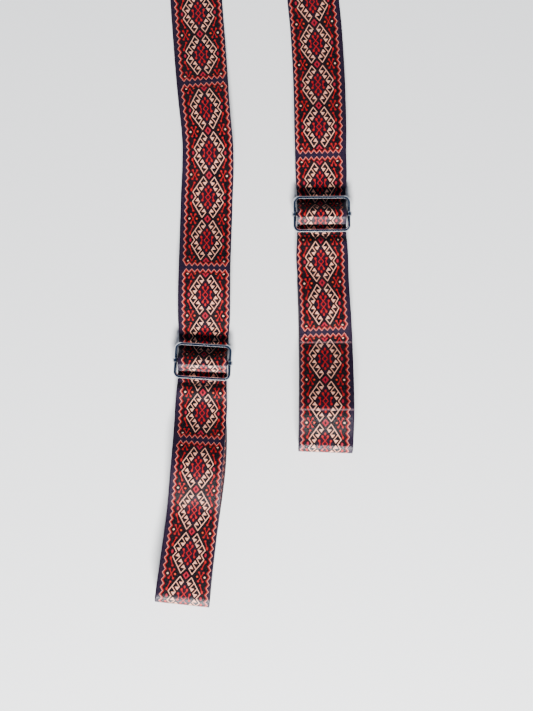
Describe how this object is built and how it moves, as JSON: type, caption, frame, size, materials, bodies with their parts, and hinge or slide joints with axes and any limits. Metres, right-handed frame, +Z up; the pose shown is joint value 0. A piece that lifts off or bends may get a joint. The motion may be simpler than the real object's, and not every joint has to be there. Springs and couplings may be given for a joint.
{
  "type": "guitar strap",
  "caption": "Flat patterned webbing strap with a wire slider on each leg and a folded end loop at each end, for hanging an instrument from the shoulder.",
  "frame": {"origin": "centre of the bounding box in plan, on the surface the strap lies on", "axes": "+Y along the legs towards the shoulder, +Z up off the surface, +X across the legs"},
  "size_m": [0.1884, 0.7852, 0.0215],
  "materials": {
    "webbing": "satin jacquard weave",
    "frame_wire": "polished",
    "bar_steel": "polished",
    "thread": "matte"
  },
  "bodies": {
    "strap": {"shoulder_webbing": "webbing", "left_upper_webbing": "webbing", "left_travel_webbing": "webbing", "right_upper_webbing": "webbing", "right_travel_webbing": "webbing"},
    "left_slider": {"left_slider_webbing": "webbing", "left_slider_bar": "bar_steel", "left_sewn_end": "webbing", "left_box_stitching": "thread", "left_return_webbing": "webbing", "left_front_webbing": "webbing"},
    "left_frame": {"left_slider_frame": "frame_wire"},
    "left_loop": {"left_end_loop": "webbing"},
    "right_slider": {"right_slider_webbing": "webbing", "right_slider_bar": "bar_steel", "right_sewn_end": "webbing", "right_box_stitching": "thread", "right_return_webbing": "webbing", "right_front_webbing": "webbing"},
    "right_frame": {"right_slider_frame": "frame_wire"},
    "right_loop": {"right_end_loop": "webbing"}
  },
  "joints": [
    {"name": "left_slider_slide", "type": "slide", "parent": "strap", "child": "left_slider", "axis": [0.0289, 0.9996, 0], "range_m": [-0.08, 0.08], "deforming": ["left_travel_webbing"]},
    {"name": "left_loop_slide", "type": "slide", "parent": "left_slider", "child": "left_loop", "axis": [0.0289, 0.9996, 0], "range_m": [-0.04, 0.04], "deforming": ["left_front_webbing", "left_return_webbing"]},
    {"name": "left_frame_slide", "type": "slide", "parent": "left_slider", "child": "left_frame", "axis": [0.0603, 0.9982, 0], "range_m": [-0.003, 0.003]},
    {"name": "right_slider_slide", "type": "slide", "parent": "strap", "child": "right_slider", "axis": [-0.0082, 1, 0], "range_m": [-0.08, 0.08], "deforming": ["right_travel_webbing"]},
    {"name": "right_loop_slide", "type": "slide", "parent": "right_slider", "child": "right_loop", "axis": [-0.0082, 1, 0], "range_m": [-0.04, 0.04], "deforming": ["right_front_webbing", "right_return_webbing"]},
    {"name": "right_frame_slide", "type": "slide", "parent": "right_slider", "child": "right_frame", "axis": [-0.0082, 1, 0], "range_m": [-0.003, 0.003]}
  ],
  "couplings": [
    {"joint": "left_loop_slide", "follows": "left_slider_slide", "ratio": -0.5},
    {"joint": "right_loop_slide", "follows": "right_slider_slide", "ratio": -0.5}
  ]
}
